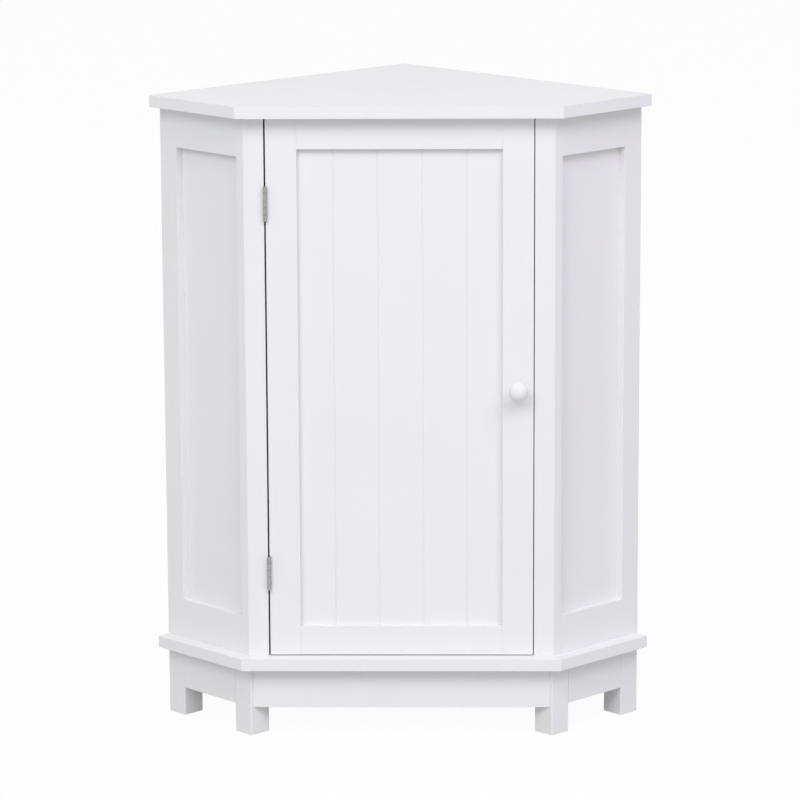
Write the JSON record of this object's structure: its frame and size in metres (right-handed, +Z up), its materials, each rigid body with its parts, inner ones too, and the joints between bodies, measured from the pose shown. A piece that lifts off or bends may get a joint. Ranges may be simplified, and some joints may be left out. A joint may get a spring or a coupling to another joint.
{
  "type": "corner bathroom cabinet",
  "caption": "Small five sided corner cabinet on short square legs, with a framed tongue and groove door hung on the left, a round knob, and a shelf inside.",
  "frame": {"origin": "on the floor, under the middle of the closed cabinet's bounding box", "axes": "+Z up, -Y towards the person who opens the door, +Y into the room corner, +X to that person's right"},
  "size_m": [0.625, 0.4368, 0.8],
  "materials": {
    "white_paint": "satin white paint over wood and fibreboard",
    "back_board": "thin white faced fibreboard",
    "beech": "plain fluted hardwood dowel",
    "nickel": "satin nickel plate",
    "zinc": "bright zinc plate",
    "catch_plastic": "moulded white plastic",
    "ferrite": "dark grey sintered magnet"
  },
  "bodies": {
    "carcass": {"top_panel": "white_paint", "base_board": "white_paint", "left_rear_post": "white_paint", "right_rear_post": "white_paint", "left_front_post": "white_paint", "right_front_post": "white_paint", "left_top_rail": "white_paint", "right_top_rail": "white_paint", "left_bottom_rail": "white_paint", "right_bottom_rail": "white_paint", "left_side_panel": "white_paint", "right_side_panel": "white_paint", "left_back_panel": "back_board", "right_back_panel": "back_board", "back_corner_post": "white_paint", "shelf": "white_paint", "shelf_pins": "nickel", "front_left_leg": "white_paint", "front_right_leg": "white_paint", "rear_left_leg": "white_paint", "rear_right_leg": "white_paint", "back_corner_leg": "white_paint", "front_apron": "white_paint", "left_apron": "white_paint", "right_apron": "white_paint", "cam_bolts": "zinc", "cam_discs": "zinc", "side_frame_dowels": "beech", "carcass_dowels": "beech", "apron_dowels": "beech", "leg_screws": "zinc", "back_nails": "zinc", "catch_case": "catch_plastic", "catch_magnet": "ferrite", "catch_poles": "zinc", "catch_screws": "zinc", "upper_hinge_frame_leaf": "nickel", "lower_hinge_frame_leaf": "nickel", "upper_hinge_pin": "nickel", "lower_hinge_pin": "nickel", "frame_hinge_screws": "nickel"},
    "door": {"upper_hinge_door_leaf": "nickel", "lower_hinge_door_leaf": "nickel", "door_hinge_screws": "nickel", "door_left_stile": "white_paint", "door_right_stile": "white_paint", "door_top_rail": "white_paint", "door_bottom_rail": "white_paint", "door_panel": "white_paint", "door_dowels": "beech", "knob": "white_paint", "knob_screw": "zinc", "strike_plate": "zinc", "strike_screw": "zinc"}
  },
  "joints": [
    {"name": "door_hinge", "type": "hinge", "parent": "carcass", "child": "door", "pos_m": [-0.16458, -0.19526, 0.4445], "axis": [0, 0, -1], "range_deg": [0, 180]}
  ]
}
